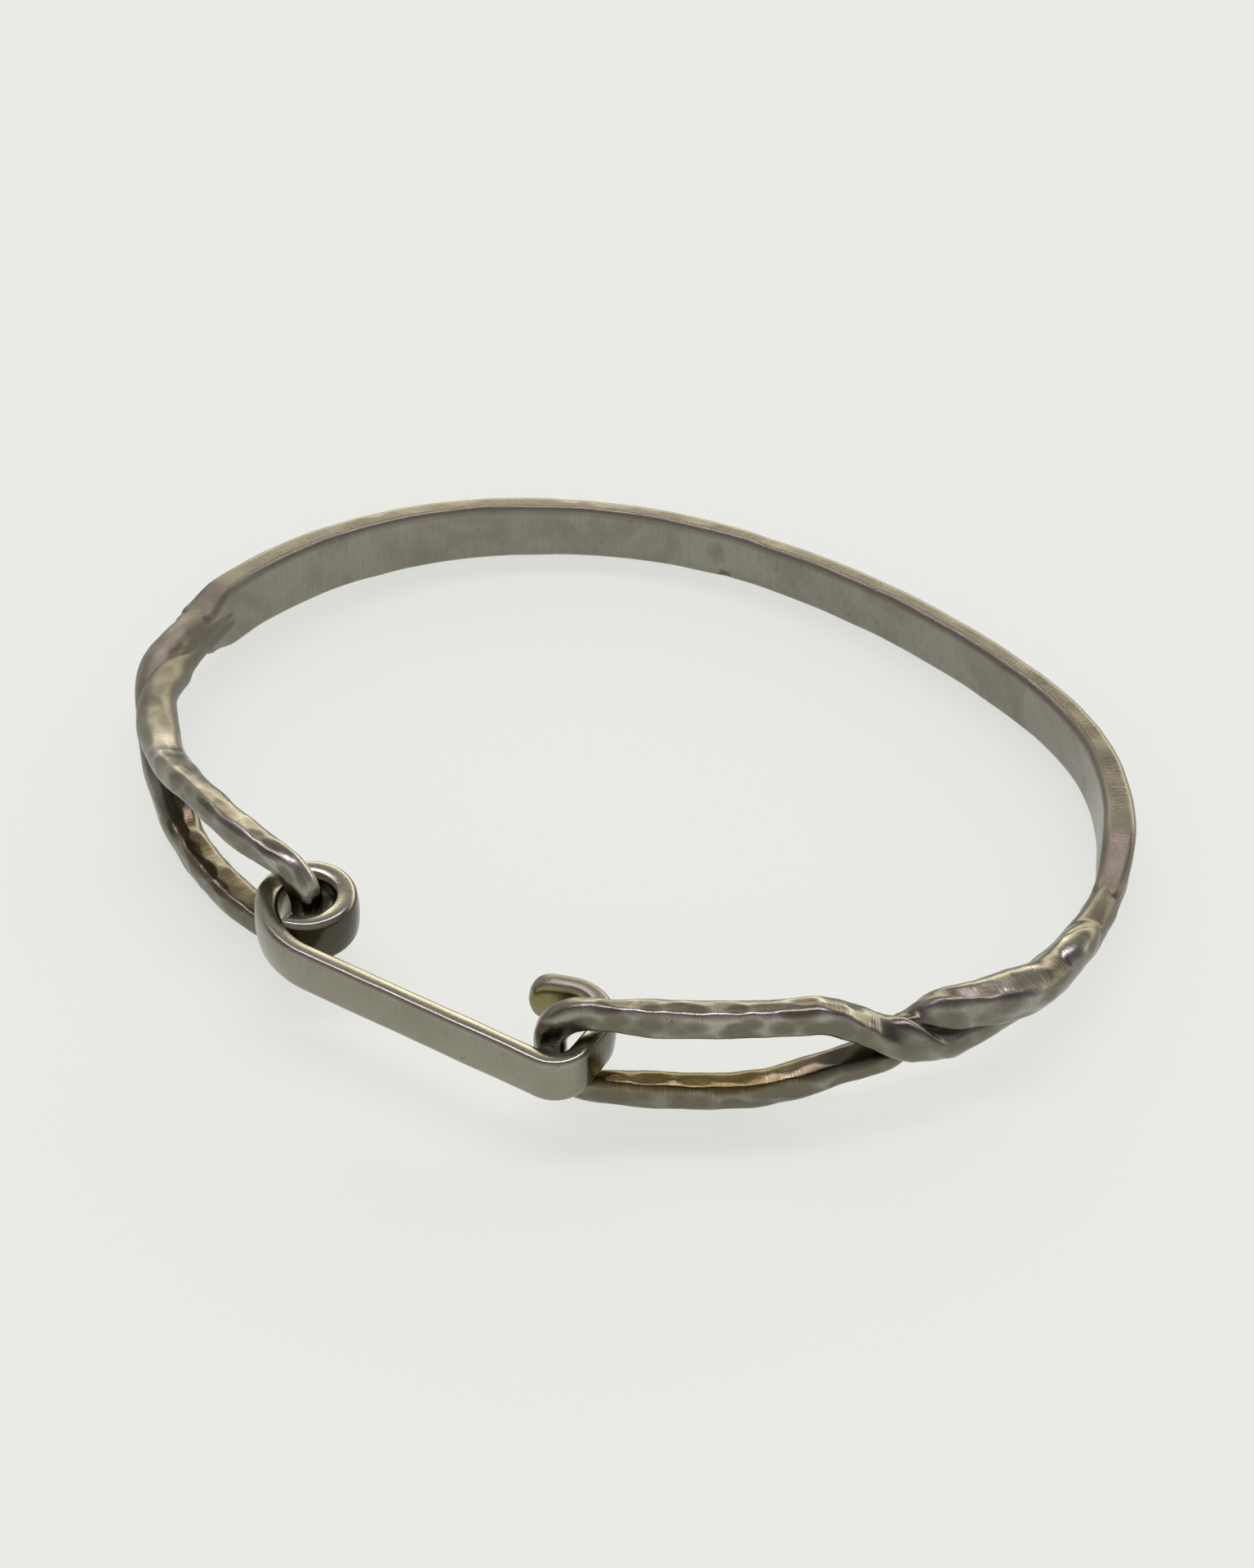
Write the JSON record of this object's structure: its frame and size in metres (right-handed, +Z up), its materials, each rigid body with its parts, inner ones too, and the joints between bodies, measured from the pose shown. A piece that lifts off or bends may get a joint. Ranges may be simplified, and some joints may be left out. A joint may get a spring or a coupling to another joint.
{
  "type": "hammered bangle with hook bar",
  "caption": "Hammered metal bangle: flat band, twisted ends opened into long eyes, and a hook bar that closes it across the front",
  "frame": {"origin": "middle of the bangle's box in X and Y, on the surface that it lies on (Z = 0)", "axes": "+X along the hook bar towards the hook, +Y from the clasp towards the back of the band, +Z up: the bangle lies on its side"},
  "size_m": [0.0622, 0.0492, 0.0078],
  "materials": {
    "wire_silver": "hammered aged sterling silver, satin to polished",
    "bar_silver": "brushed aged sterling silver, satin"
  },
  "bodies": {
    "bangle": {"bangle_body": "wire_silver"},
    "hook": {"hook_bar": "bar_silver"}
  },
  "joints": [
    {"name": "hook_swing", "type": "hinge", "parent": "bangle", "child": "hook", "pos_m": [-0.00873, -0.01984, 0.00402], "axis": [0, 0.0465, 0.9989], "range_deg": [-3, 1]}
  ]
}
